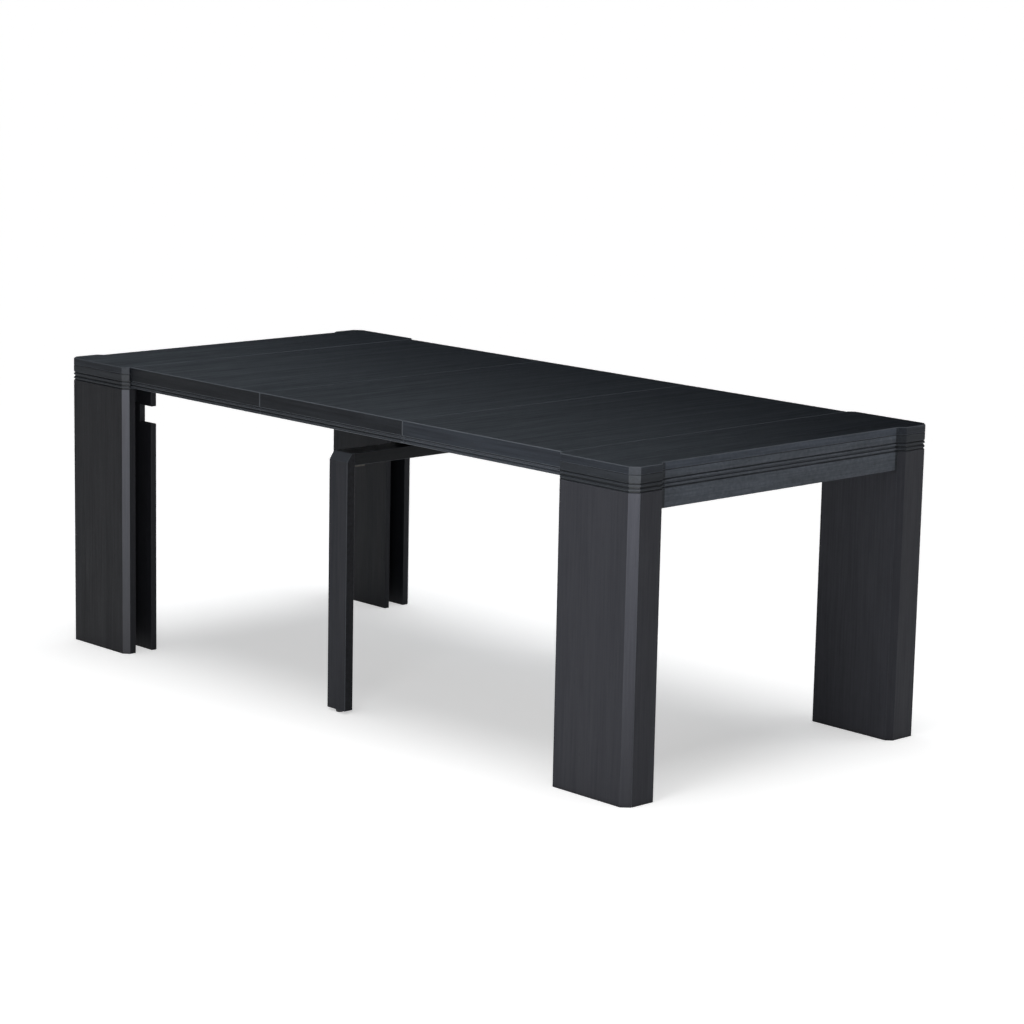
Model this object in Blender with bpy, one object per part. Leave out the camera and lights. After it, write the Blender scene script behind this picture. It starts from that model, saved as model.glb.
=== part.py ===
"""Extending console table in black-stained wood, set up with three loose leaves.

Two end units stand on hollow legs and slide apart on two telescopic aluminium rails. A slim
centre support carries the middle of the rails, and the leaves lie on them side by side.
X runs along the table, Y across it with the front at -Y, Z up from the floor. Sizes in metres.
"""

import math

import bmesh
import bpy
from mathutils import Matrix

# Whole table
HEIGHT = 0.760
WIDTH = 0.997
END_LENGTH = 0.2445
LEAF_LENGTH = 0.5314
SEAM_GAP = 0.0006
JOINT_GAP = 0.0003

# Top boards and the twin-bead moulding under their edges
TOP_BOARD = 0.0180
UNDER_BOARD = 0.0182
CORNER_CHAMFER = 0.0185
SIDE_CHAMFER = 0.0140
LEAF_SETBACK = 0.0180
ARRIS = 0.0010
TOP_ROUNDING = 0.0020
LEAF_CORNER = 0.0018
STRIP_ARRIS = 0.0006
UPPER_GROOVE = 0.0022
BEAD = 0.0055
BEAD_ROUNDING = 0.0016
MIDDLE_GROOVE = 0.0045
LOWER_GROOVE = 0.0030
GROOVE_DEPTH = 0.0030
BEAD_BED = 0.0060
LEAF_STRIP = 0.0240

# Hollow legs and end aprons
LEG_DEPTH = 0.1000
OUTER_BOARD = 0.0320
INNER_BOARD = 0.0165
END_BOARD = 0.0330
TOP_BLOCK = 0.0450
TOP_BLOCK_SETBACK = 0.0600
APRON = 0.0220
APRON_HEIGHT = 0.0450

# Centre support, which nests in the hollow legs when the table is closed
POST_WIDTH = 0.0670
POST = 0.0250
POST_CLEARANCE = 0.0160
CROSSBAR = 0.0300
SHOULDER_ACROSS = 0.0140
SHOULDER_DOWN = 0.0200
NOTCH_CLEARANCE_BELOW = 0.0090
NOTCH_CLEARANCE_ABOVE = 0.0070
LEFT_NOTCH_CLEARANCE = 0.0147
RIGHT_NOTCH_CLEARANCE = 0.0020
BEARER_HEIGHT = 0.0366
BEARER_WIDTH = 0.0600
BRACKET_WIDTH = 0.0500
BRACKET_LEG = 0.0380
BRACKET = 0.0050
GLIDE_HEIGHT = 0.0070
GLIDE_RADIUS = 0.0110
GLIDE_FOOT_RADIUS = 0.0088

# Telescopic rails: extruded sections side by side, each keyed to the next by a T tongue
RAIL_SPREAD = 0.4200
RAIL_HEIGHT = 0.0400
RAIL_BODY = 0.0150
RAIL_WALL = 0.0020
RAIL_END_CLEARANCE = 0.0045
CENTRE_RAIL_DROP = 0.0020
SLIDE_GAP = 0.0004
TONGUE_NECK = 0.0060
TONGUE_HEAD = 0.0120
TONGUE_NECK_LENGTH = 0.0030
TONGUE_HEAD_LENGTH = 0.0030
STAGES = 3

# Heights, worked down from the top
HALF_WIDTH = WIDTH / 2
TOP_UNDERSIDE = HEIGHT - TOP_BOARD
BOARDS_UNDERSIDE = TOP_UNDERSIDE - JOINT_GAP - UNDER_BOARD
MOULDING_TOP = BOARDS_UNDERSIDE - JOINT_GAP
UPPER_BEAD_TOP = MOULDING_TOP - UPPER_GROOVE
LOWER_BEAD_TOP = UPPER_BEAD_TOP - BEAD - MIDDLE_GROOVE
MOULDING_BOTTOM = LOWER_BEAD_TOP - BEAD - LOWER_GROOVE
LEG_TOP = MOULDING_BOTTOM - JOINT_GAP
RAIL_TOP = BOARDS_UNDERSIDE - JOINT_GAP
RAIL_BOTTOM = RAIL_TOP - RAIL_HEIGHT
CENTRE_RAIL_BOTTOM = RAIL_BOTTOM - CENTRE_RAIL_DROP
BEARER_TOP = CENTRE_RAIL_BOTTOM - JOINT_GAP
CROSSBAR_TOP = BEARER_TOP - BEARER_HEIGHT - JOINT_GAP
CROSSBAR_BOTTOM = CROSSBAR_TOP - CROSSBAR
NOTCH_TOP = CROSSBAR_TOP + NOTCH_CLEARANCE_ABOVE
NOTCH_FLOOR = CROSSBAR_BOTTOM - NOTCH_CLEARANCE_BELOW

# Places along and across the table, for the right-hand end and the back row
LEAVES = ("left", "centre", "right")
LEAF_PITCH = LEAF_LENGTH + SEAM_GAP
SEAM_X = len(LEAVES) * LEAF_PITCH / 2 + SEAM_GAP / 2
END_X = SEAM_X + END_LENGTH
APRON_FACE_X = END_X - SIDE_CHAMFER
APRON_BACK_X = APRON_FACE_X - APRON
END_BOARD_BACK_X = END_X - END_BOARD
LEFT_NOTCH_X = SEAM_X + POST_WIDTH / 2 + LEFT_NOTCH_CLEARANCE
RIGHT_NOTCH_X = SEAM_X + POST_WIDTH / 2 + RIGHT_NOTCH_CLEARANCE
LEG_FACE_Y = HALF_WIDTH - LEG_DEPTH
OUTER_BOARD_BACK_Y = HALF_WIDTH - OUTER_BOARD
LEAF_EDGE_Y = HALF_WIDTH - LEAF_SETBACK
POST_OUTER_Y = OUTER_BOARD_BACK_Y - POST_CLEARANCE
POST_INNER_Y = POST_OUTER_Y - POST
RAIL_LENGTH = 2 * (APRON_BACK_X - SEAM_X - RAIL_END_CLEARANCE)
RAIL_PITCH = RAIL_BODY + SLIDE_GAP

SIDES = {"left": -1, "right": 1}
ROWS = {"front": -1, "back": 1}

for obj in list(bpy.data.objects):
    bpy.data.objects.remove(obj, do_unlink=True)
TABLE = bpy.data.collections.new("extending_table")
CUTTERS = bpy.data.collections.new("joining_shapes")
CUTTERS.hide_render = True
bpy.context.scene.collection.children.link(TABLE)
bpy.context.scene.collection.children.link(CUTTERS)


def make_material(name, colour, roughness, metallic=0.0):
    material = bpy.data.materials.new(name)
    material.use_nodes = True
    shader = material.node_tree.nodes["Principled BSDF"]
    shader.inputs["Base Color"].default_value = (*colour, 1.0)
    shader.inputs["Roughness"].default_value = roughness
    shader.inputs["Metallic"].default_value = metallic
    return material


BLACK_VENEER = make_material("black_stained_veneer", (0.018, 0.020, 0.024), 0.42)
BLACK_WOOD = make_material("black_stained_wood", (0.021, 0.023, 0.027), 0.48)
ALUMINIUM = make_material("mill_aluminium", (0.62, 0.63, 0.65), 0.38, 1.0)
STEEL = make_material("blackened_steel", (0.110, 0.107, 0.100), 0.45, 1.0)
BLACK_PLASTIC = make_material("black_plastic", (0.012, 0.012, 0.013), 0.55)


def make_body(name):
    """An empty that gathers the pieces that move together."""
    body = bpy.data.objects.new(name, None)
    TABLE.objects.link(body)
    return body


def mirrored(points, x_sign=1, y_sign=1):
    return [(x * x_sign, y * y_sign) for x, y in points]


def rectangle(x_limits, y_limits):
    (x0, x1), (y0, y1) = x_limits, y_limits
    return [(x0, y0), (x1, y0), (x1, y1), (x0, y1)]


# Where a profile's own two axes and its length point in the table
PROFILE_AXES = {
    "Z": Matrix.Identity(4),
    "X": Matrix(((0, 0, 1, 0), (1, 0, 0, 0), (0, 1, 0, 0), (0, 0, 0, 1))),
    "Y": Matrix(((1, 0, 0, 0), (0, 0, -1, 0), (0, 1, 0, 0), (0, 0, 0, 1))),
}


def profile_curve(name, outline, length, holes):
    curve = bpy.data.curves.new(name, "CURVE")
    curve.dimensions = "2D"
    curve.fill_mode = "BOTH"
    curve.extrude = length / 2
    for points in (outline, *holes):
        spline = curve.splines.new("POLY")
        spline.points.add(len(points) - 1)
        for point, (u, v) in zip(spline.points, points):
            point.co = (u, v, 0.0, 1.0)
        spline.use_cyclic_u = True
    return curve


def rim_edges(bm, end):
    """The edges round the low (-1) or high (1) end of a prism that still stands along Z."""
    rims = []
    for edge in bm.edges:
        at_end = all(vert.co.z * end > 0 for vert in edge.verts)
        level = abs(edge.verts[0].co.z - edge.verts[1].co.z) < JOINT_GAP / 2
        if at_end and level and edge.calc_face_angle(0.0) > math.radians(30):
            rims.append(edge)
    return rims


def corner_edges(bm):
    """The square corners that run from end to end of a prism that still stands along Z."""
    return [
        edge
        for edge in bm.edges
        if edge.verts[0].co.z * edge.verts[1].co.z < 0
        and edge.calc_face_angle(0.0) > math.radians(80)
    ]


def ease(bm, edges, radius, segments):
    if radius:
        bmesh.ops.bevel(
            bm, geom=edges, offset=radius, segments=segments, profile=0.5, affect="EDGES"
        )


def prism(name, outline, limits, along="Z", holes=(), rims=(0.0, 0.0), corners=0.0, segments=1):
    """A mesh of one profile, run between two limits along an axis.

    rims are the radii that ease its low and its high end, and corners eases its square corners.
    """
    low, high = sorted(limits)
    curve = profile_curve(name, outline, high - low, holes)
    drawn = bpy.data.objects.new(name, curve)
    mesh = bpy.data.meshes.new_from_object(drawn)
    bpy.data.objects.remove(drawn)
    bpy.data.curves.remove(curve)
    bm = bmesh.new()
    bm.from_mesh(mesh)
    bmesh.ops.remove_doubles(bm, verts=bm.verts, dist=1e-6)
    if not holes:
        bmesh.ops.dissolve_limit(bm, angle_limit=math.radians(1), verts=bm.verts, edges=bm.edges)
    bmesh.ops.recalc_face_normals(bm, faces=bm.faces)
    ease(bm, corner_edges(bm), corners, segments)
    for end, radius in zip((-1, 1), rims):
        ease(bm, rim_edges(bm, end), radius, segments)
    middle = (low + high) / 2 * (-1 if along == "Y" else 1)
    bmesh.ops.translate(bm, verts=bm.verts, vec=(0, 0, middle))
    bmesh.ops.transform(bm, verts=bm.verts, matrix=PROFILE_AXES[along])
    bm.to_mesh(mesh)
    bm.free()
    mesh.name = name
    return mesh


def place(name, mesh, material, body):
    """Puts a mesh made in table coordinates into the scene, with its origin at its own middle."""
    corners = [vertex.co for vertex in mesh.vertices]
    middle = Matrix.Translation(
        [(min(c[i] for c in corners) + max(c[i] for c in corners)) / 2 for i in range(3)]
    )
    mesh.transform(middle.inverted())
    mesh.materials.clear()
    mesh.materials.append(material)
    piece = bpy.data.objects.new(name, mesh)
    piece.matrix_world = middle
    TABLE.objects.link(piece)
    piece.parent = body
    return piece


def join(piece, name, mesh):
    """Makes a shape part of a piece that it runs into."""
    shape = bpy.data.objects.new(name, mesh)
    shape.display_type = "WIRE"
    CUTTERS.objects.link(shape)
    union = piece.modifiers.new(name, "BOOLEAN")
    union.operation = "UNION"
    union.solver = "EXACT"
    union.object = shape


# End units: plan outline with ears over the legs, chamfered at every outward corner


def end_edge(inset, seam_x):
    """The moulded edge from the front seam corner round to the back one, moved in by inset."""
    lean = inset * math.tan(math.pi / 8)
    front = [
        (seam_x, -HALF_WIDTH + SIDE_CHAMFER + inset * math.sqrt(2) - (seam_x - SEAM_X)),
        (SEAM_X + SIDE_CHAMFER + lean, -HALF_WIDTH + inset),
        (END_X - CORNER_CHAMFER - lean, -HALF_WIDTH + inset),
        (END_X - inset, -HALF_WIDTH + CORNER_CHAMFER + lean),
        (END_X - inset, -LEG_FACE_Y - SIDE_CHAMFER - lean),
        (APRON_FACE_X - inset, -LEG_FACE_Y - lean),
    ]
    return front + mirrored(reversed(front), y_sign=-1)


def end_ring(inset, bed, seam_x):
    """The same edge backed by a U that follows the leg tops and the apron."""
    inner_y = LEG_FACE_Y + bed
    inner_x = APRON_BACK_X + bed
    back = [(seam_x, inner_y), (inner_x, inner_y), (inner_x, -inner_y), (seam_x, -inner_y)]
    return end_edge(inset, seam_x) + back


def build_end_top(side, body):
    sign = SIDES[side]
    outline = mirrored(end_edge(0.0, SEAM_X), sign)
    top_limits = (TOP_UNDERSIDE, HEIGHT)
    top = prism("top", outline, top_limits, rims=(ARRIS, TOP_ROUNDING), segments=3)
    place(f"{side}_top_board", top, BLACK_VENEER, body)
    under_limits = (BOARDS_UNDERSIDE, TOP_UNDERSIDE - JOINT_GAP)
    under = prism("under", outline, under_limits, rims=(ARRIS, ARRIS))
    place(f"{side}_under_board", under, BLACK_VENEER, body)

    core_outline = mirrored(end_ring(GROOVE_DEPTH, 0.0, SEAM_X + ARRIS), sign)
    core = prism("core", core_outline, (MOULDING_BOTTOM, MOULDING_TOP))
    moulding = place(f"{side}_edge_moulding", core, BLACK_WOOD, body)
    bead_outline = mirrored(end_ring(0.0, BEAD_BED, SEAM_X), sign)
    for name, bead_top in (("upper", UPPER_BEAD_TOP), ("lower", LOWER_BEAD_TOP)):
        bead_limits = (bead_top - BEAD, bead_top)
        bead_rims = (BEAD_ROUNDING, BEAD_ROUNDING)
        bead = prism("bead", bead_outline, bead_limits, rims=bead_rims, segments=3)
        join(moulding, f"{side}_{name}_bead", bead)

    apron_outline = rectangle(
        (sign * APRON_BACK_X, sign * APRON_FACE_X),
        (-LEG_FACE_Y + JOINT_GAP, LEG_FACE_Y - JOINT_GAP),
    )
    apron_limits = (LEG_TOP - APRON_HEIGHT, LEG_TOP)
    apron = prism("apron", apron_outline, apron_limits, rims=(ARRIS, ARRIS))
    place(f"{side}_apron", apron, BLACK_WOOD, body)


def build_leg(side, row, body):
    """Three boards round a hollow that opens towards the middle, with a block to fix it at the top.

    The end board is mitred to the outer one and rabbeted for the inner one, both at an arris.
    """
    x_sign, y_sign = SIDES[side], ROWS[row]
    name = f"{side}_{row}_leg"
    board_limits = (0.0, LEG_TOP)
    mitre_x = END_X - (OUTER_BOARD - CORNER_CHAMFER)
    mitre_gap = JOINT_GAP * math.sqrt(2)

    outer_outline = [
        (SEAM_X, OUTER_BOARD_BACK_Y),
        (SEAM_X, HALF_WIDTH - SIDE_CHAMFER),
        (SEAM_X + SIDE_CHAMFER, HALF_WIDTH),
        (END_X - CORNER_CHAMFER, HALF_WIDTH),
        (END_X, HALF_WIDTH - CORNER_CHAMFER),
        (mitre_x, OUTER_BOARD_BACK_Y),
    ]
    outer_profile = mirrored(outer_outline, x_sign, y_sign)
    outer = prism("outer", outer_profile, board_limits, rims=(ARRIS, ARRIS))
    place(f"{name}_outer_board", outer, BLACK_VENEER, body)

    rabbet_x = END_X - SIDE_CHAMFER
    rabbet_y = LEG_FACE_Y + INNER_BOARD + JOINT_GAP
    end_outline = [
        (END_BOARD_BACK_X, OUTER_BOARD_BACK_Y - mitre_gap),
        (mitre_x, OUTER_BOARD_BACK_Y - mitre_gap),
        (END_X, HALF_WIDTH - CORNER_CHAMFER - mitre_gap),
        (END_X, LEG_FACE_Y + SIDE_CHAMFER),
        (rabbet_x, LEG_FACE_Y),
        (rabbet_x, rabbet_y),
        (END_BOARD_BACK_X, rabbet_y),
    ]
    end = prism("end", mirrored(end_outline, x_sign, y_sign), board_limits, rims=(ARRIS, ARRIS))
    place(f"{name}_end_board", end, BLACK_VENEER, body)

    inner_x = rabbet_x - JOINT_GAP
    notch_x = LEFT_NOTCH_X if side == "left" else RIGHT_NOTCH_X
    inner_outline = [
        (SEAM_X, 0.0),
        (inner_x, 0.0),
        (inner_x, LEG_TOP),
        (SEAM_X, LEG_TOP),
        (SEAM_X, NOTCH_TOP),
        (notch_x, NOTCH_TOP),
        (notch_x, NOTCH_FLOOR),
        (SEAM_X, NOTCH_FLOOR),
    ]
    inner_limits = (y_sign * LEG_FACE_Y, y_sign * (LEG_FACE_Y + INNER_BOARD))
    inner = prism("inner", mirrored(inner_outline, x_sign), inner_limits, "Y", rims=(ARRIS, ARRIS))
    place(f"{name}_inner_board", inner, BLACK_VENEER, body)

    block_outline = rectangle(
        (SEAM_X + TOP_BLOCK_SETBACK, END_BOARD_BACK_X - JOINT_GAP),
        (LEG_FACE_Y + INNER_BOARD + JOINT_GAP, OUTER_BOARD_BACK_Y - JOINT_GAP),
    )
    block = prism("block", mirrored(block_outline, x_sign, y_sign), (LEG_TOP - TOP_BLOCK, LEG_TOP))
    place(f"{name}_top_block", block, BLACK_WOOD, body)


# Leaves: a board with a twin-bead strip under each long edge


def strip_profile():
    """Section of a leaf's moulding strip, from its back to the beads, for the back row."""
    face = LEAF_EDGE_Y
    groove = face - GROOVE_DEPTH
    back = face - LEAF_STRIP
    points = [(back, LOWER_BEAD_TOP - BEAD), (back, MOULDING_TOP), (groove, MOULDING_TOP)]
    for bead_top in (UPPER_BEAD_TOP, LOWER_BEAD_TOP):
        bead_bottom = bead_top - BEAD
        points += [
            (groove, bead_top),
            (face - BEAD_ROUNDING, bead_top),
            (face, bead_top - BEAD_ROUNDING),
            (face, bead_bottom + BEAD_ROUNDING),
            (face - BEAD_ROUNDING, bead_bottom),
            (groove, bead_bottom),
        ]
    return points[:-1]


def build_leaf(index, body):
    leaf = LEAVES[index]
    middle = (index - (len(LEAVES) - 1) / 2) * LEAF_PITCH
    along = (middle - LEAF_LENGTH / 2, middle + LEAF_LENGTH / 2)
    outline = rectangle(along, (-LEAF_EDGE_Y, LEAF_EDGE_Y))
    limits = (BOARDS_UNDERSIDE, HEIGHT)
    rims = (ARRIS, TOP_ROUNDING)
    board = prism("board", outline, limits, rims=rims, corners=LEAF_CORNER, segments=3)
    place(f"{leaf}_leaf_board", board, BLACK_VENEER, body)
    for row, sign in ROWS.items():
        strip_rims = (STRIP_ARRIS, STRIP_ARRIS)
        strip = prism("strip", mirrored(strip_profile(), sign), along, "X", rims=strip_rims)
        place(f"{leaf}_leaf_{row}_moulding", strip, BLACK_WOOD, body)


# Centre support: two posts and a crossbar, with a bearer under each middle rail


def build_support(body):
    half_width = POST_WIDTH / 2
    bar_end = POST_INNER_Y - JOINT_GAP
    bar_outline = rectangle((-half_width, half_width), (-bar_end, bar_end))
    bar = prism("bar", bar_outline, (CROSSBAR_BOTTOM, CROSSBAR_TOP), rims=(ARRIS, ARRIS))
    place("support_crossbar", bar, BLACK_WOOD, body)

    for row, sign in ROWS.items():
        post_outline = [
            (POST_INNER_Y, GLIDE_HEIGHT + JOINT_GAP),
            (POST_OUTER_Y, GLIDE_HEIGHT + JOINT_GAP),
            (POST_OUTER_Y, CROSSBAR_TOP - SHOULDER_DOWN),
            (POST_OUTER_Y - SHOULDER_ACROSS, CROSSBAR_TOP),
            (POST_INNER_Y, CROSSBAR_TOP),
        ]
        post_limits = (-half_width, half_width)
        post = prism("post", mirrored(post_outline, sign), post_limits, "X", rims=(ARRIS, ARRIS))
        place(f"support_{row}_post", post, BLACK_WOOD, body)

        bearer_y = sign * RAIL_SPREAD / 2
        bearer_outline = rectangle(
            (-half_width, half_width), (bearer_y - BEARER_WIDTH / 2, bearer_y + BEARER_WIDTH / 2)
        )
        bearer_limits = (BEARER_TOP - BEARER_HEIGHT, BEARER_TOP)
        bearer = prism("bearer", bearer_outline, bearer_limits, rims=(ARRIS, ARRIS))
        place(f"support_{row}_bearer", bearer, BLACK_WOOD, body)

        corner_y = POST_INNER_Y - JOINT_GAP
        corner_z = CROSSBAR_BOTTOM - JOINT_GAP
        bracket_outline = [
            (corner_y, corner_z),
            (corner_y - BRACKET_LEG, corner_z),
            (corner_y - BRACKET_LEG, corner_z - BRACKET),
            (corner_y - BRACKET, corner_z - BRACKET),
            (corner_y - BRACKET, corner_z - BRACKET_LEG),
            (corner_y, corner_z - BRACKET_LEG),
        ]
        bracket_limits = (-BRACKET_WIDTH / 2, BRACKET_WIDTH / 2)
        bracket = prism("bracket", mirrored(bracket_outline, sign), bracket_limits, "X")
        place(f"support_{row}_bracket", bracket, STEEL, body)

        build_glide(f"support_{row}_glide", sign * (POST_OUTER_Y + POST_INNER_Y) / 2, body)


def build_glide(name, y, body):
    """A tapered plastic foot under a post."""
    bm = bmesh.new()
    bmesh.ops.create_cone(
        bm,
        cap_ends=True,
        segments=24,
        radius1=GLIDE_FOOT_RADIUS,
        radius2=GLIDE_RADIUS,
        depth=GLIDE_HEIGHT,
        matrix=Matrix.Translation((0, y, GLIDE_HEIGHT / 2)),
    )
    mesh = bpy.data.meshes.new(name)
    bm.to_mesh(mesh)
    bm.free()
    mesh.shade_smooth()
    mesh.set_sharp_from_angle(angle=math.radians(35))
    place(name, mesh, BLACK_PLASTIC, body)


# Telescopic rails


def key_points(face, outward, clearance):
    """The T key on one face of a section, from bottom to top: a tongue, or a groove with clearance."""
    neck = TONGUE_NECK / 2 + clearance
    head = TONGUE_HEAD / 2 + clearance
    neck_end = TONGUE_NECK_LENGTH
    head_end = TONGUE_NECK_LENGTH + TONGUE_HEAD_LENGTH
    if clearance:
        neck_end -= clearance + SLIDE_GAP
        head_end += clearance - SLIDE_GAP
    middle = RAIL_TOP - RAIL_HEIGHT / 2
    neck_y = face + outward * neck_end
    head_y = face + outward * head_end
    return [
        (face, middle - neck),
        (neck_y, middle - neck),
        (neck_y, middle - head),
        (head_y, middle - head),
        (head_y, middle + head),
        (neck_y, middle + head),
        (neck_y, middle + neck),
        (face, middle + neck),
    ]


def section_side(face, outward, key):
    """What one face of a section carries, from bottom to top."""
    if key == "tongue":
        return key_points(face, outward, 0.0)
    if key == "groove":
        return key_points(face, -outward, SLIDE_GAP)
    return []


def section_outline(middle, bottom, low_key, high_key):
    """A section's outer profile, with what each of its two faces carries."""
    low, high = middle - RAIL_BODY / 2, middle + RAIL_BODY / 2
    up = section_side(high, 1, high_key)
    down = list(reversed(section_side(low, -1, low_key)))
    return [(high, bottom), *up, (high, RAIL_TOP), (low, RAIL_TOP), *down, (low, bottom)]


def section_chambers(middle, bottom):
    """The two hollows that run through a section, above and below the key."""
    across = (middle - RAIL_BODY / 2 + RAIL_WALL, middle + RAIL_BODY / 2 - RAIL_WALL)
    key_middle = RAIL_TOP - RAIL_HEIGHT / 2
    reach = TONGUE_HEAD / 2 + SLIDE_GAP + RAIL_WALL
    upper = rectangle(across, (key_middle + reach, RAIL_TOP - RAIL_WALL))
    lower = rectangle(across, (bottom + RAIL_WALL, key_middle - reach))
    return upper, lower


def build_section(name, middle_x, middle_y, bottom, low_key, high_key, body):
    outline = section_outline(middle_y, bottom, low_key, high_key)
    limits = (middle_x - RAIL_LENGTH / 2, middle_x + RAIL_LENGTH / 2)
    section = prism("section", outline, limits, "X", holes=section_chambers(middle_y, bottom))
    place(name, section, ALUMINIUM, body)


def build_rail(row, bodies):
    """A centre section, then a chain of sections out to each end unit on either side of it."""
    row_y = ROWS[row] * RAIL_SPREAD / 2
    build_section(
        f"{row}_rail_centre", 0.0, row_y, CENTRE_RAIL_BOTTOM, "tongue", "tongue", bodies["support"]
    )
    for side, x_sign in SIDES.items():
        y_sign = x_sign * ROWS[row]
        for stage in range(1, STAGES + 1):
            last = stage == STAGES
            keys = ("groove", "plain" if last else "tongue")
            low_key, high_key = keys if y_sign > 0 else reversed(keys)
            part = "end" if last else f"stage_{stage}"
            build_section(
                f"{row}_rail_{side}_{part}",
                x_sign * SEAM_X * stage / STAGES,
                row_y + y_sign * RAIL_PITCH * stage,
                RAIL_BOTTOM,
                low_key,
                high_key,
                bodies[f"{side}_{part}"],
            )


bodies = {"support": make_body("centre_support")}
for side in SIDES:
    bodies[f"{side}_end"] = make_body(f"{side}_end")
    for stage in range(1, STAGES):
        bodies[f"{side}_stage_{stage}"] = make_body(f"{side}_stage_{stage}")
    build_end_top(side, bodies[f"{side}_end"])
    for row in ROWS:
        build_leg(side, row, bodies[f"{side}_end"])
build_support(bodies["support"])
for row in ROWS:
    build_rail(row, bodies)
for index, leaf in enumerate(LEAVES):
    build_leaf(index, make_body(f"{leaf}_leaf"))
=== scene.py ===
"""Extending dining table in black-stained ash, set up with its three leaves, on a white studio floor.

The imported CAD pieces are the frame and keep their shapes. They get their finishes and their screws
here, in the order in which the table is put together. X runs along the table, the front is at -Y, and
sizes are in metres.
"""

import math

import bpy
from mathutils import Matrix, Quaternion, Vector


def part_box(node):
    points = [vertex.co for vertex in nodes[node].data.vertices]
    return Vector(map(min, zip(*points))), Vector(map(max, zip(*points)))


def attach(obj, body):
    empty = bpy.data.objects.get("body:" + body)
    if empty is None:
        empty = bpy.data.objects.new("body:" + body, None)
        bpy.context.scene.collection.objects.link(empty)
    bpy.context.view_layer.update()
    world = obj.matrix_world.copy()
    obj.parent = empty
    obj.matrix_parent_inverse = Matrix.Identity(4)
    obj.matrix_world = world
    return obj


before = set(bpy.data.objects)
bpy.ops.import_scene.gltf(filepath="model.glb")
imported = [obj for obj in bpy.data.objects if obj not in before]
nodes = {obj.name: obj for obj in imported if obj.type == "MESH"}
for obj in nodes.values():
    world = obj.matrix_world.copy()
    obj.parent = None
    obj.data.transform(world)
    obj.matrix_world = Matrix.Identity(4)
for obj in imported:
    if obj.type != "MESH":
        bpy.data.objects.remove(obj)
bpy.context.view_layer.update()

# Legs: an outer, an end and a notched inner board round a hollow, glued at mitre and rabbet, with a
# block in the head. Board veneered in ash, grain upright, stained blue-black under a satin lacquer.

SIDES = ("left", "right")
ROWS = ("front", "back")

# Settings that many nodes share
MULTIPLY = {"operation": "MULTIPLY"}
BLEND = {"operation": "MULTIPLY_ADD"}
LARGER = {"operation": "MAXIMUM"}
COLOURS = {"data_type": "RGBA"}


def linear(hex_colour):
    """An sRGB hex colour as the linear RGBA that a colour socket takes."""
    channels = [int(hex_colour[i : i + 2], 16) / 255 for i in (1, 3, 5)]
    return [c / 12.92 if c <= 0.04045 else ((c + 0.055) / 1.055) ** 2.4 for c in channels] + [1.0]


def add(tree, kind, settings=None, **sockets):
    """Adds a node with its settings. A socket, named or _numbered, is set to a value or linked."""
    node = tree.nodes.new(kind)
    for name, value in (settings or {}).items():
        setattr(node, name, value)
    for key, value in sockets.items():
        slot = node.inputs[int(key[1:])] if key[1:].isdigit() else node.inputs[key.replace("_", " ")]
        feeds = value if isinstance(value, tuple) else (value,)
        if isinstance(feeds[0], bpy.types.NodeSocket):
            for feed in feeds:
                tree.links.new(feed, slot)
        else:
            slot.default_value = value
    return node


def new_material(name):
    """A new node material: its tree, its shader and the material itself."""
    material = bpy.data.materials.new(name)
    material.use_nodes = True
    return material.node_tree, material.node_tree.nodes["Principled BSDF"], material


def streaks(tree, place, length, breadth, lowest, highest):
    """Noise drawn out along the grain, from 0 at the lowest level kept to 1 at the highest."""
    stretch = (1 / length, 1 / breadth, 1 / breadth)
    spread = add(tree, "ShaderNodeMapping", Vector=place, Scale=stretch).outputs[0]
    noise = add(tree, "ShaderNodeTexNoise", Vector=spread, Scale=1.0, Detail=4.0, Roughness=0.62)
    level = add(
        tree, "ShaderNodeMapRange", Value=noise.outputs["Fac"], From_Min=lowest, From_Max=highest
    )
    return level.outputs[0]


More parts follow.
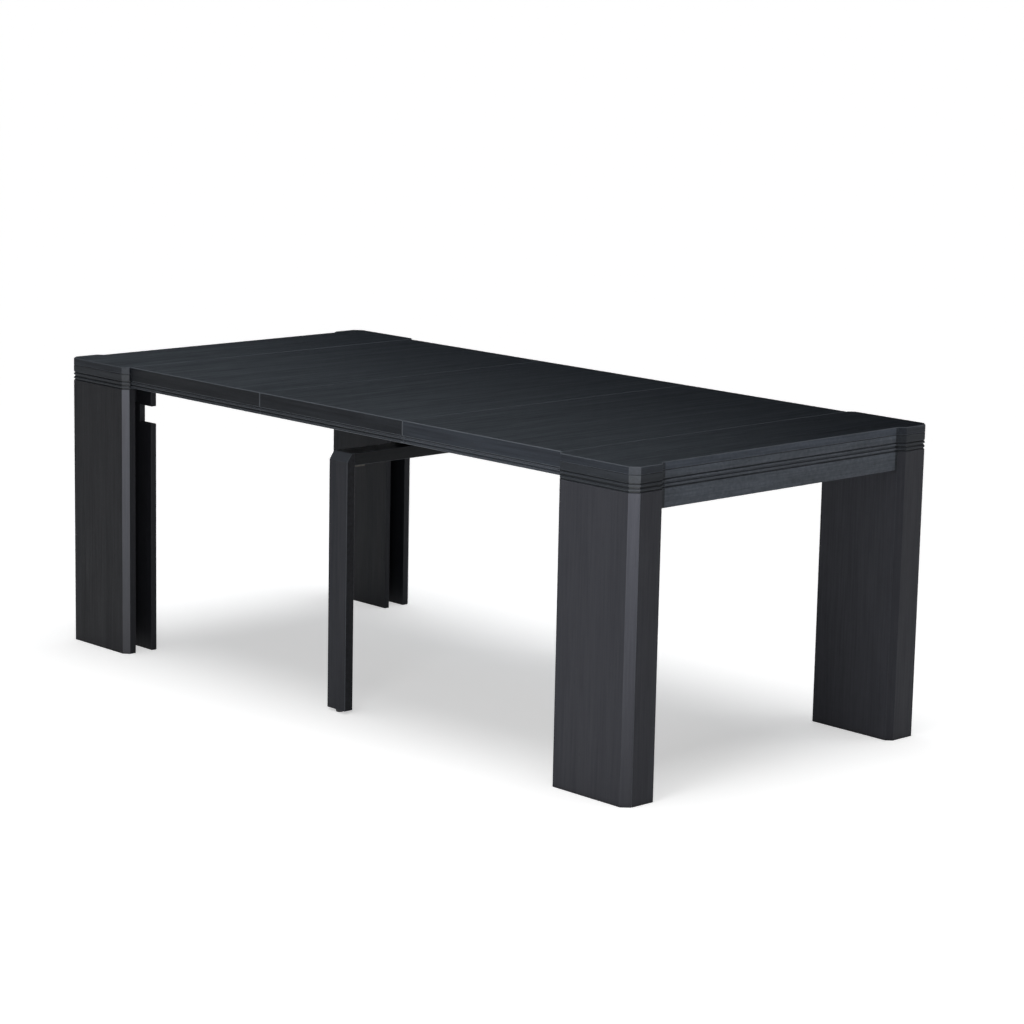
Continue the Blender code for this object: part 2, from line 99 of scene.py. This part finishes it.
def stained_ash(
    name,
    grain,
    pale,
    deep,
    edges=0.0,
    end_face_light=0.0,
    reach=0.39,
    chamfer_highlight=(0.0, 0.0),
    gloss=0.0,
    wear_and_highlight=0.25,
    seam_wear_and_highlight=1.0,
):
    """Black-stained ash: long soft fibres, dashes of open pore, and arrises painted paler, partly wear
    and partly a painted highlight.

    grain is "upright", or "across" the table, which turns to run along on the front and back edges.
    Real fibres and pores are under 0.5 mm wide, and are drawn several times coarser to show. These
    shares paint the surface paler. Upright edges are painted paler, partly a paler lipping and partly
    painted light. End faces within reach of the middle get a mottled painted sheen, or a painted shade
    where the share is below nought. The outer chamfers get a painted highlight: a share at the floor,
    and more for each metre up. gloss is the share of a second, brighter coat on those chamfers. Arrises
    are painted paler by the next share, partly wear through the stain and partly a painted highlight.
    The last share weighs that on the upper arris where two boards meet.
    """
    tree, shader, material = new_material(name)
    coordinates = add(tree, "ShaderNodeTexCoord").outputs["Object"]
    x, y, z = add(tree, "ShaderNodeSeparateXYZ", Vector=coordinates).outputs
    normal = add(tree, "ShaderNodeNewGeometry").outputs["True Normal"]
    squares = add(tree, "ShaderNodeVectorMath", MULTIPLY, _0=normal, _1=normal).outputs[0]
    to_end, to_front, to_top = add(tree, "ShaderNodeSeparateXYZ", Vector=squares).outputs
    if grain == "upright":
        along = add(tree, "ShaderNodeCombineXYZ", X=z, Y=x, Z=y).outputs[0]
    else:
        mostly_front = 0.4
        is_edge = add(
            tree, "ShaderNodeMath", {"operation": "GREATER_THAN"}, _0=to_front, _1=mostly_front
        )
        across = add(tree, "ShaderNodeCombineXYZ", X=y, Y=x, Z=z).outputs[0]
        turn = {"data_type": "VECTOR"}
        along = add(
            tree, "ShaderNodeMix", turn, _0=is_edge.outputs[0], _4=across, _5=coordinates
        ).outputs[1]

    # Veneer leaves, six to a table leaf, each cut up to so far along and across the log from the rest
    veneer_width = 0.0886
    log_shift = (3.0, 0.4, 0.4)
    width = add(tree, "ShaderNodeSeparateXYZ", Vector=along).outputs["Y"]
    leaf = add(tree, "ShaderNodeMath", {"operation": "DIVIDE"}, _0=width, _1=veneer_width).outputs[0]
    leaf = add(tree, "ShaderNodeMath", {"operation": "FLOOR"}, _0=leaf).outputs[0]
    cut = add(tree, "ShaderNodeTexWhiteNoise", {"noise_dimensions": "1D"}, W=leaf)
    log = add(tree, "ShaderNodeVectorMath", BLEND, _0=cut.outputs["Color"], _1=log_shift, _2=along)
    log = log.outputs[0]
    veneer = cut.outputs["Value"]

    # These shares make up the tone, from deep to pale. Pores fill with the deep stain.
    fibre_share, figure_share, veneer_share = 0.55, 0.3, 0.15
    fibre = streaks(tree, log, length=0.16, breadth=0.005, lowest=0.3, highest=0.7)
    figure = streaks(tree, log, length=0.5, breadth=0.045, lowest=0.3, highest=0.7)
    pores = streaks(tree, log, length=0.016, breadth=0.002, lowest=0.6, highest=0.7)
    tone = add(tree, "ShaderNodeMath", MULTIPLY, _0=fibre, _1=fibre_share).outputs[0]
    tone = add(tree, "ShaderNodeMath", BLEND, _0=figure, _1=figure_share, _2=tone).outputs[0]
    tone = add(tree, "ShaderNodeMath", BLEND, _0=veneer, _1=veneer_share, _2=tone).outputs[0]
    wood = add(tree, "ShaderNodeMix", COLOURS, _0=tone, _6=linear(deep), _7=linear(pale)).outputs[2]
    wood = add(tree, "ShaderNodeMix", COLOURS, _0=pores, _6=wood, _7=linear(deep)).outputs[2]

    # How pale the surface is painted, by the way a face looks: end faces painted paler or darker,
    # mottled by so much in all, and a painted highlight on chamfers further than so much from the
    # middle. Shade is painted into grooves of about this width.
    mottling = 0.5
    outer_zone = 0.45
    groove = 0.012
    # Upright faces are painted paler by the edges share: partly a paler lipping, partly painted light
    level = add(tree, "ShaderNodeMath", BLEND, _0=to_top, _1=-edges, _2=1 + edges).outputs[0]
    from_middle = add(tree, "ShaderNodeMath", {"operation": "ABSOLUTE"}, _0=y).outputs[0]
    within = add(tree, "ShaderNodeMath", {"operation": "LESS_THAN"}, _0=from_middle, _1=reach).outputs[0]
    outside = add(tree, "ShaderNodeMath", {"operation": "GREATER_THAN"}, _0=from_middle, _1=outer_zone)
    mottle = streaks(tree, coordinates, length=0.016, breadth=0.01, lowest=0.3, highest=0.7)
    least = 1 - mottling / 2
    mottle = add(tree, "ShaderNodeMath", BLEND, _0=mottle, _1=mottling, _2=least).outputs[0]
    # End faces within reach of the middle are painted paler, a mottled painted sheen; a share below
    # nought paints them darker, a painted shade
    painted_end_light = add(tree, "ShaderNodeMath", MULTIPLY, _0=to_end, _1=within).outputs[0]
    painted_end_light = add(tree, "ShaderNodeMath", MULTIPLY, _0=painted_end_light, _1=mottle).outputs[0]
    level = add(tree, "ShaderNodeMath", BLEND, _0=painted_end_light, _1=end_face_light, _2=level).outputs[0]
    # A painted highlight on the outer chamfers: a share at the floor, and more for each metre up
    slant = add(tree, "ShaderNodeMath", MULTIPLY, _0=to_end, _1=to_front).outputs[0]
    slant = add(tree, "ShaderNodeMath", MULTIPLY, _0=slant, _1=outside.outputs[0]).outputs[0]
    highlight_by_height = add(tree, "ShaderNodeMath", BLEND, _0=z, _1=chamfer_highlight[1], _2=chamfer_highlight[0]).outputs[0]
    level = add(tree, "ShaderNodeMath", BLEND, _0=slant, _1=highlight_by_height, _2=level).outputs[0]
    # Painted shade in grooves and corners
    painted_groove_shade = add(tree, "ShaderNodeAmbientOcclusion", {"samples": 4}, Distance=groove).outputs["AO"]
    painted_groove_shade = add(tree, "ShaderNodeMapRange", Value=painted_groove_shade, From_Min=0.3, From_Max=0.9, To_Min=0.3).outputs[0]
    level = add(tree, "ShaderNodeMath", MULTIPLY, _0=level, _1=painted_groove_shade).outputs[0]
    wood = add(tree, "ShaderNodeVectorMath", {"operation": "SCALE"}, Vector=wood, Scale=level).outputs[0]

    # Arrises: sharp ones, found by how far a rounding turns the surface, and eased ones, by their slope
    arris_radius = 0.0015
    rounding = add(tree, "ShaderNodeBevel", {"samples": 4}, Radius=arris_radius).outputs[0]
    flat = add(tree, "ShaderNodeNewGeometry").outputs["Normal"]
    agree = add(tree, "ShaderNodeVectorMath", {"operation": "DOT_PRODUCT"}, _0=rounding, _1=flat)
    agree = agree.outputs["Value"]
    sharp = add(tree, "ShaderNodeMapRange", Value=agree, From_Min=0.995, From_Max=0.9, To_Max=wear_and_highlight)
    to_side = add(tree, "ShaderNodeMath", {"operation": "SUBTRACT"}, _0=1.0, _1=to_top).outputs[0]
    sharp = add(tree, "ShaderNodeMath", MULTIPLY, _0=sharp.outputs[0], _1=to_side).outputs[0]
    upright_arris = 0.0 if gloss else slant
    lip = add(tree, "ShaderNodeMath", BLEND, _0=to_end, _1=seam_wear_and_highlight, _2=to_front).outputs[0]
    eased = add(tree, "ShaderNodeMath", BLEND, _0=to_top, _1=lip, _2=upright_arris).outputs[0]
    eased = add(tree, "ShaderNodeMapRange", Value=eased, From_Min=0.02, From_Max=0.06, To_Max=wear_and_highlight)
    arris_wear_and_highlight = add(tree, "ShaderNodeMath", LARGER, _0=sharp, _1=eased.outputs[0]).outputs[0]
    # Arrises painted paler: partly wear through the stain, partly a painted highlight
    wear_and_highlight_colour = linear("#666b72")
    wood = add(tree, "ShaderNodeMix", COLOURS, _0=arris_wear_and_highlight, _6=wood, _7=wear_and_highlight_colour).outputs[2]
    tree.links.new(wood, shader.inputs["Base Color"])

    # Satin lacquer, smoother on the pale, dense wood. Its index is below a real lacquer's 1.5, because
    # the white floor and the strip of paper at the horizon would else make the dark faces too pale.
    satin = add(tree, "ShaderNodeMapRange", Value=tone, To_Min=0.6, To_Max=0.33).outputs[0]
    tree.links.new(satin, shader.inputs["Roughness"])
    relief = add(tree, "ShaderNodeMath", {"operation": "SUBTRACT"}, _0=tone, _1=pores).outputs[0]
    bump = add(tree, "ShaderNodeBump", Strength=0.35, Distance=0.0004, Height=relief).outputs[0]
    tree.links.new(bump, shader.inputs["Normal"])
    shader.inputs["IOR"].default_value = 1.22
    if gloss:
        # What the slant comes to on a chamfer at 45 degrees
        full_slant = 0.25
        coat = add(tree, "ShaderNodeMath", MULTIPLY, _0=slant, _1=gloss / full_slant).outputs[0]
        tree.links.new(coat, shader.inputs["Coat Weight"])
        shader.inputs["Coat Roughness"].default_value = 0.45
    return material


# Lit and shaded copies of one stain: the left legs are painted darker, a painted shade, with a stronger
# painted highlight on their chamfers; the right legs are painted paler, painted light
LEG_STAINS_AND_LIGHT = {
    "left": {"pale": "#2d2e33", "deep": "#25262a", "chamfer_highlight": (5.9, 22.5), "gloss": 0.9},
    "right": {"pale": "#3f4046", "deep": "#34353b", "chamfer_highlight": (0.0, 8.8), "gloss": 0.25},
}

for side, stain in LEG_STAINS_AND_LIGHT.items():
    leg_ash = stained_ash(f"black_stained_ash_{side}_legs", "upright", **stain)
    for row in ROWS:
        for part in ("outer_board", "end_board", "inner_board", "top_block"):
            nodes[f"{side}_{row}_leg_{part}"].material_slots[0].material = leg_ash

# These boards are painted paler or darker than the rest of their leg: painted light on the right back
# inner board, painted shade on the left back boards
LIT_AND_SHADED_BOARDS = {
    "right_back_leg_inner_board": {"pale": "#484950", "deep": "#3b3c42"},
    "left_back_leg_inner_board": {"pale": "#282a2f", "deep": "#202227"},
    "left_back_leg_outer_board": {"pale": "#282a2f", "deep": "#202227"},
}

for board, stain in LIT_AND_SHADED_BOARDS.items():
    side = board.split("_")[0]
    board_ash = stained_ash(f"black_stained_ash_{board}", "upright", **(LEG_STAINS_AND_LIGHT[side] | stain))
    nodes[board].material_slots[0].material = board_ash

# End-unit tops: two boards a side, glued one on the other, with ears over the legs. Board veneered in
# ash across the table and lipped, stained and lacquered as the legs are, the pores left open.

TOP_STAIN = {"pale": "#22262c", "deep": "#14161a"}
# A painted highlight on the outer chamfers, by a share at the floor and more by height, and a brighter
# coat on them
OUTER_CHAMFERS = {"chamfer_highlight": (1.2, 5.6), "gloss": 0.9}

# Its upright edges and end faces are painted paler, partly painted light, and its arrises carry a
# painted highlight as well as wear
top_ash = stained_ash(
    "black_stained_ash_veneer", "across", edges=1.5, end_face_light=3.4, wear_and_highlight=0.6, **TOP_STAIN, **OUTER_CHAMFERS
)
for side in SIDES:
    nodes[f"{side}_top_board"].material_slots[0].material = top_ash

# Under boards, edge mouldings and aprons: solid ash, glued up under the tops, with two beads run along
# the moulding. Its upright faces are painted paler, partly painted light, and between the legs its end
# faces more so: a mottled painted sheen.

solid_ash = stained_ash(
    "black_stained_ash_solid", "across", "#23262b", "#151719", edges=1.5, end_face_light=4.8, **OUTER_CHAMFERS
)
for side in SIDES:
    for part in ("under_board", "edge_moulding", "apron"):
        nodes[f"{side}_{part}"].material_slots[0].material = solid_ash

# Telescopic rails: seven hollow extruded sections a rail, each on the next one's T tongue. Aluminium as
# it leaves the press: bright, a little dull, with fine die lines along its whole length. The lines are
# drawn a few times coarser than they are, to show.

tree, shader, mill_aluminium = new_material("mill_finish_aluminium")
coordinates = add(tree, "ShaderNodeTexCoord").outputs["Object"]
die_lines = streaks(tree, coordinates, length=0.8, breadth=0.0012, lowest=0.3, highest=0.7)
pressed = add(
    tree, "ShaderNodeMix", COLOURS, _0=die_lines, _6=linear("#b4b7bb"), _7=linear("#cdd0d3")
)
tree.links.new(pressed.outputs[2], shader.inputs["Base Color"])
dull = add(tree, "ShaderNodeMapRange", Value=die_lines, To_Min=0.46, To_Max=0.34).outputs[0]
tree.links.new(dull, shader.inputs["Roughness"])
drawn = add(tree, "ShaderNodeBump", Strength=0.3, Distance=0.0001, Height=die_lines).outputs[0]
tree.links.new(drawn, shader.inputs["Normal"])
shader.inputs["Metallic"].default_value = 1.0
for row in ROWS:
    nodes[f"{row}_rail_centre"].material_slots[0].material = mill_aluminium
    for side in SIDES:
        for part in ("stage_1", "stage_2", "end"):
            nodes[f"{row}_rail_{side}_{part}"].material_slots[0].material = mill_aluminium

# Rail screws: round-head wood screws that hold each end section up to the under board. Steel wire,
# headed, with a pressed cross recess, then blackened in oil, which leaves a dull, faintly clouded skin.

SCREW = {"Head Radius": 0.0042, "Head Height": 0.0026, "Recess Width": 0.0011, "Recess Depth": 0.0013}
SCREW_PITCH = 0.07

tree, shader, blackened_steel = new_material("oil_blackened_steel")
coordinates = add(tree, "ShaderNodeTexCoord").outputs["Object"]
bloom = streaks(tree, coordinates, length=0.007, breadth=0.005, lowest=0.35, highest=0.65)
scale = add(tree, "ShaderNodeMix", COLOURS, _0=bloom, _6=linear("#454442"), _7=linear("#5c5a55"))
tree.links.new(scale.outputs[2], shader.inputs["Base Color"])
dull = add(tree, "ShaderNodeMapRange", Value=bloom, To_Min=0.4, To_Max=0.54).outputs[0]
tree.links.new(dull, shader.inputs["Roughness"])
skin = add(tree, "ShaderNodeBump", Strength=0.2, Distance=0.0001, Height=bloom).outputs[0]
tree.links.new(skin, shader.inputs["Normal"])
shader.inputs["Metallic"].default_value = 1.0

screws = bpy.data.node_groups.new("round_head_screws", "GeometryNodeTree")
screws.interface.new_socket("Points", in_out="INPUT", socket_type="NodeSocketGeometry")
for size in SCREW:
    screws.interface.new_socket(size, in_out="INPUT", socket_type="NodeSocketFloat")
screws.interface.new_socket("Screws", in_out="OUTPUT", socket_type="NodeSocketGeometry")
points, radius, height, recess, depth = add(screws, "NodeGroupInput").outputs[:5]

# The head is the upper half of a ball, pressed flat, less two bars that cross in its crown
ball = add(screws, "GeometryNodeMeshUVSphere", Segments=24, Rings=11, Radius=1.0).outputs["Mesh"]
squash = add(screws, "ShaderNodeCombineXYZ", X=radius, Y=radius, Z=height).outputs[0]
dome = add(screws, "GeometryNodeTransform", Geometry=ball, Scale=squash).outputs[0]
span = add(screws, "ShaderNodeMath", MULTIPLY, _0=radius, _1=4.0).outputs[0]
below = add(screws, "ShaderNodeMath", MULTIPLY, _0=height, _1=-1.0).outputs[0]
tall = add(screws, "ShaderNodeMath", MULTIPLY, _0=height, _1=2.0).outputs[0]
block = add(screws, "ShaderNodeCombineXYZ", X=span, Y=span, Z=tall).outputs[0]
block = add(screws, "GeometryNodeMeshCube", Size=block).outputs["Mesh"]
drop = add(screws, "ShaderNodeCombineXYZ", Z=below).outputs[0]
under = add(screws, "GeometryNodeTransform", Geometry=block, Translation=drop).outputs[0]
deep = add(screws, "ShaderNodeMath", MULTIPLY, _0=depth, _1=2.0).outputs[0]
rise = add(screws, "ShaderNodeCombineXYZ", Z=height).outputs[0]
bars = []
for sizes in ({"X": radius, "Y": recess}, {"X": recess, "Y": radius}):
    bar = add(screws, "ShaderNodeCombineXYZ", Z=deep, **sizes).outputs[0]
    bar = add(screws, "GeometryNodeMeshCube", Size=bar).outputs["Mesh"]
    bars.append(add(screws, "GeometryNodeTransform", Geometry=bar, Translation=rise).outputs[0])
cutting = {"operation": "DIFFERENCE", "solver": "EXACT"}
head = add(screws, "GeometryNodeMeshBoolean", cutting, Mesh_1=dome, Mesh_2=(under, *bars)).outputs[0]

# Each head faces along its point's axis and is turned at random, as a driver leaves it
axis = add(screws, "GeometryNodeInputNamedAttribute", {"data_type": "FLOAT_VECTOR"}, Name="axis")
stand = add(
    screws, "FunctionNodeAlignRotationToVector", {"axis": "Z"}, Vector=axis.outputs["Attribute"]
)
turned = add(screws, "FunctionNodeRandomValue", {"data_type": "FLOAT"}, _2=0.0, _3=math.tau, Seed=4)
spin = add(screws, "FunctionNodeAxisAngleToRotation", Axis=(0, 0, 1), Angle=turned.outputs[1])
driven = add(
    screws,
    "FunctionNodeRotateRotation",
    {"rotation_space": "LOCAL"},
    Rotation=stand.outputs[0],
    Rotate_By=spin.outputs[0],
)
heads = add(
    screws, "GeometryNodeInstanceOnPoints", Points=points, Instance=head, Rotation=driven.outputs[0]
)
whole = add(screws, "GeometryNodeRealizeInstances", Geometry=heads.outputs[0]).outputs[0]
steel = add(screws, "GeometryNodeSetMaterial", Geometry=whole, Material=blackened_steel).outputs[0]
add(screws, "NodeGroupOutput", Screws=steel)


def drive_screws(name, body, spots):
    """One mesh of screw heads for a body. Each spot is a place and the way that the head faces."""
    marks = bpy.data.meshes.new(name)
    marks.from_pydata([place for place, facing in spots], [], [])
    axes = marks.attributes.new("axis", "FLOAT_VECTOR", "POINT")
    axes.data.foreach_set("vector", [value for place, facing in spots for value in facing])
    piece = bpy.data.objects.new(name, marks)
    bpy.context.scene.collection.objects.link(piece)
    modifier = piece.modifiers.new("screws", "NODES")
    modifier.node_group = screws
    for item in screws.interface.items_tree:
        if item.name in SCREW:
            modifier[item.identifier] = SCREW[item.name]
    evaluated = piece.evaluated_get(bpy.context.evaluated_depsgraph_get())
    solid = bpy.data.meshes.new_from_object(evaluated)
    piece.modifiers.remove(modifier)
    piece.data = solid
    bpy.data.meshes.remove(marks)
    solid.name = name
    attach(piece, body)


for side in SIDES:
    spots = []
    for row in ROWS:
        low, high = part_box(f"{row}_rail_{side}_end")
        board_low, board_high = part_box(f"{side}_under_board")
        middle_x = (max(low[0], board_low[0]) + min(high[0], board_high[0])) / 2
        middle_y = (low[1] + high[1]) / 2
        for step in (-1, 0, 1):
            spots.append(((middle_x + step * SCREW_PITCH, middle_y, low[2]), (0, 0, -1)))
    drive_screws(f"{side}_rail_screws", f"{side}_end", spots)

# Centre support: two posts and a crossbar in solid ash, with a bearer under each rail, all stained as
# the table is. Angle brackets of pressed steel, blackened as the screws are, stiffen its two corners.

BRACKET_THICKNESS = 0.005
SCREW_HALF_SPACING = 0.014

bar_ash = stained_ash("black_stained_ash_bar", "across", "#212326", "#17191b")
# The posts' sides facing along the table are painted darker: painted shade
post_ash = stained_ash(
    "black_stained_ash_post", "upright", "#393a40", "#2e3036", end_face_light=-0.6, reach=0.5, wear_and_highlight=0.6
)
for row in ROWS:
    nodes[f"support_{row}_post"].material_slots[0].material = post_ash
    nodes[f"support_{row}_bearer"].material_slots[0].material = bar_ash
    nodes[f"support_{row}_bracket"].material_slots[0].material = blackened_steel
nodes["support_crossbar"].material_slots[0].material = bar_ash
crossbar_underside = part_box("support_crossbar")[0][2]
spots = []
for row, outward in zip(ROWS, (-1, 1)):
    low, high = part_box(f"support_{row}_bracket")
    post_y = low[1] if outward < 0 else high[1]
    inner_y = high[1] if outward < 0 else low[1]
    plate_y = post_y - outward * BRACKET_THICKNESS
    plate_z = high[2] - BRACKET_THICKNESS
    bearer_low, bearer_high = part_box(f"support_{row}_bearer")
    bearer_y = (bearer_low[1] + bearer_high[1]) / 2
    for x in (-SCREW_HALF_SPACING, SCREW_HALF_SPACING):
        spots.append(((x, plate_y, (low[2] + plate_z) / 2), (0, -outward, 0)))
        spots.append(((x, (inner_y + plate_y) / 2, plate_z), (0, 0, -1)))
        spots.append(((x, bearer_y, crossbar_underside), (0, 0, -1)))
drive_screws("support_screws", "centre_support", spots)

# Glides: a tapered foot under each post, nailed on. Black nylon, moulded, with a fine even grain that
# scuffs paler where it slides. The grain is drawn coarser than it is, to show.

tree, shader, black_nylon = new_material("moulded_black_nylon")
coordinates = add(tree, "ShaderNodeTexCoord").outputs["Object"]
grains = streaks(tree, coordinates, length=0.0008, breadth=0.0008, lowest=0.35, highest=0.65)
scuffs = streaks(tree, coordinates, length=0.006, breadth=0.0015, lowest=0.5, highest=0.75)
nylon = add(tree, "ShaderNodeMix", COLOURS, _0=scuffs, _6=linear("#131416"), _7=linear("#2a2b2d"))
tree.links.new(nylon.outputs[2], shader.inputs["Base Color"])
dull = add(tree, "ShaderNodeMapRange", Value=scuffs, To_Min=0.42, To_Max=0.6).outputs[0]
tree.links.new(dull, shader.inputs["Roughness"])
moulded = add(tree, "ShaderNodeBump", Strength=0.3, Distance=0.0001, Height=grains).outputs[0]
tree.links.new(moulded, shader.inputs["Normal"])
shader.inputs["IOR"].default_value = 1.53
for row in ROWS:
    nodes[f"support_{row}_glide"].material_slots[0].material = black_nylon

# Leaves: three loose boards, laid on the rails between the end units, each with a beaded strip glued
# under its front and its back edge. Veneered across the table, to carry on from the end units.

# How much paler each leaf's edges are painted: painted light, strongest on the right leaf. Their arrises
# carry a painted highlight as well as wear.
LEAF_EDGE_LIGHT = {"left": 0.25, "centre": 0.4, "right": 2.0}

for leaf, edges in LEAF_EDGE_LIGHT.items():
    leaf_ash = stained_ash(
        f"black_stained_ash_{leaf}_leaf", "across", edges=edges, wear_and_highlight=0.85, seam_wear_and_highlight=0.28, **TOP_STAIN
    )
    nodes[f"{leaf}_leaf_board"].material_slots[0].material = leaf_ash
    for row in ROWS:
        nodes[f"{leaf}_leaf_{row}_moulding"].material_slots[0].material = leaf_ash

# Studio: a floor of white paper that runs past the horizon. The camera, gloss and glass see it lifted to
# white; what lights the table is the paper itself, which keeps the shadow.

FLOOR_REACH = 200.0
PAPER = "#e7e7e7"
PAPER_LIFT = 0.53

corners = [(x * FLOOR_REACH, y * FLOOR_REACH, 0) for x, y in ((-1, -1), (1, -1), (1, 1), (-1, 1))]
floor_mesh = bpy.data.meshes.new("studio_floor")
floor_mesh.from_pydata(corners, [], [(0, 1, 2, 3)])
floor = bpy.data.objects.new("studio_floor", floor_mesh)
bpy.context.scene.collection.objects.link(floor)
tree, shader, paper = new_material("white_paper")
tree.nodes.remove(shader)
ray = add(tree, "ShaderNodeLightPath").outputs
seen = add(tree, "ShaderNodeMath", LARGER, _0=ray["Is Camera Ray"], _1=ray["Is Glossy Ray"])
seen = add(tree, "ShaderNodeMath", LARGER, _0=seen.outputs[0], _1=ray["Is Transmission Ray"])
lit = add(tree, "ShaderNodeBsdfDiffuse", Color=linear(PAPER)).outputs[0]
lift = add(tree, "ShaderNodeEmission", Strength=PAPER_LIFT).outputs[0]
both = add(tree, "ShaderNodeAddShader", _0=lit, _1=lift).outputs[0]
white = add(tree, "ShaderNodeMixShader", _0=seen.outputs[0], _1=lit, _2=both).outputs[0]
tree.links.new(white, tree.nodes["Material Output"].inputs["Surface"])
floor_mesh.materials.append(paper)

# Studio light: a wide soft source overhead, for the shadow straight below, polarised so that the lacquer
# shows none of its glare, and softboxes round the table that draw its edges. The room is dark above a
# low strip of paper at the horizon.

WHITE = "#ffffff"
COOL_WHITE = "#e5f3ff"
HORIZON = math.sin(math.radians(2.0))
CEILING_STRENGTH = 1.85
CEILING_SPREAD = math.radians(44)


def softbox(name, place, aim, size, watts, colour=WHITE):
    """A rectangular lamp at a place, turned to an aim. The camera doesn't see it."""
    lamp = bpy.data.lights.new(name, "AREA")
    lamp.shape = "RECTANGLE"
    lamp.size, lamp.size_y = size
    lamp.energy = watts
    lamp.color = linear(colour)[:3]
    box = bpy.data.objects.new(name, lamp)
    box.location = place
    box.rotation_mode = "QUATERNION"
    box.rotation_quaternion = (Vector(aim) - Vector(place)).to_track_quat("-Z", "Y")
    box.visible_camera = False
    bpy.context.scene.collection.objects.link(box)


world = bpy.data.worlds.new("studio")
world.use_nodes = True
tree = world.node_tree
facing = add(tree, "ShaderNodeTexCoord").outputs["Generated"]
height = add(tree, "ShaderNodeSeparateXYZ", Vector=facing).outputs["Z"]
low = add(tree, "ShaderNodeMath", {"operation": "LESS_THAN"}, _0=height, _1=HORIZON).outputs[0]
tree.nodes["Background"].inputs["Color"].default_value = linear(WHITE)
tree.links.new(low, tree.nodes["Background"].inputs["Strength"])
bpy.context.scene.world = world
sun = bpy.data.lights.new("ceiling", "SUN")
sun.energy = CEILING_STRENGTH
sun.angle = CEILING_SPREAD
ceiling = bpy.data.objects.new("ceiling", sun)
ceiling.visible_glossy = False
bpy.context.scene.collection.objects.link(ceiling)
softbox("right_of_camera", place=(3.31, -2.59, 1.1), aim=(0.0, 0.0, 0.5), size=(1.2, 1.2), watts=5.0)
softbox("near_right", place=(1.25, -2.0, 1.0), aim=(0.9, -0.4, 0.45), size=(0.8, 0.8), watts=11.0)
softbox("right_back", place=(2.2, 2.0, 1.0), aim=(1.0, 0.4, 0.6), size=(0.8, 0.8), watts=4.0)
softbox(
    "behind",
    place=(-1.6, 1.0, 1.8),
    aim=(-1.6, 0.0, 1.4),
    size=(3.8, 0.5),
    watts=7.0,
    colour=COOL_WHITE,
)

# Camera: a long lens a little above the top, turned to the near right corner, at the photograph's angle.

AZIMUTH = math.radians(46.521)
ELEVATION = math.radians(10.815)
ROLL = math.radians(1.181)
DISTANCE = 7.5213
TARGET = Vector((0.1363, 0.0, 0.4667))
FOCAL_PIXELS = 3025.7
IMAGE_PIXELS = 1024

camera = bpy.data.cameras.new("camera")
camera.sensor_width = 36.0
camera.lens = camera.sensor_width * FOCAL_PIXELS / IMAGE_PIXELS
level = math.cos(ELEVATION)
back = Vector((math.sin(AZIMUTH) * level, -math.cos(AZIMUTH) * level, math.sin(ELEVATION)))
eye = bpy.data.objects.new("camera", camera)
eye.location = TARGET + DISTANCE * back
eye.rotation_mode = "QUATERNION"
eye.rotation_quaternion = (-back).to_track_quat("-Z", "Y") @ Quaternion((0, 0, 1), ROLL)
bpy.context.scene.collection.objects.link(eye)
bpy.context.scene.camera = eye
bpy.context.scene.view_settings.view_transform = "Standard"
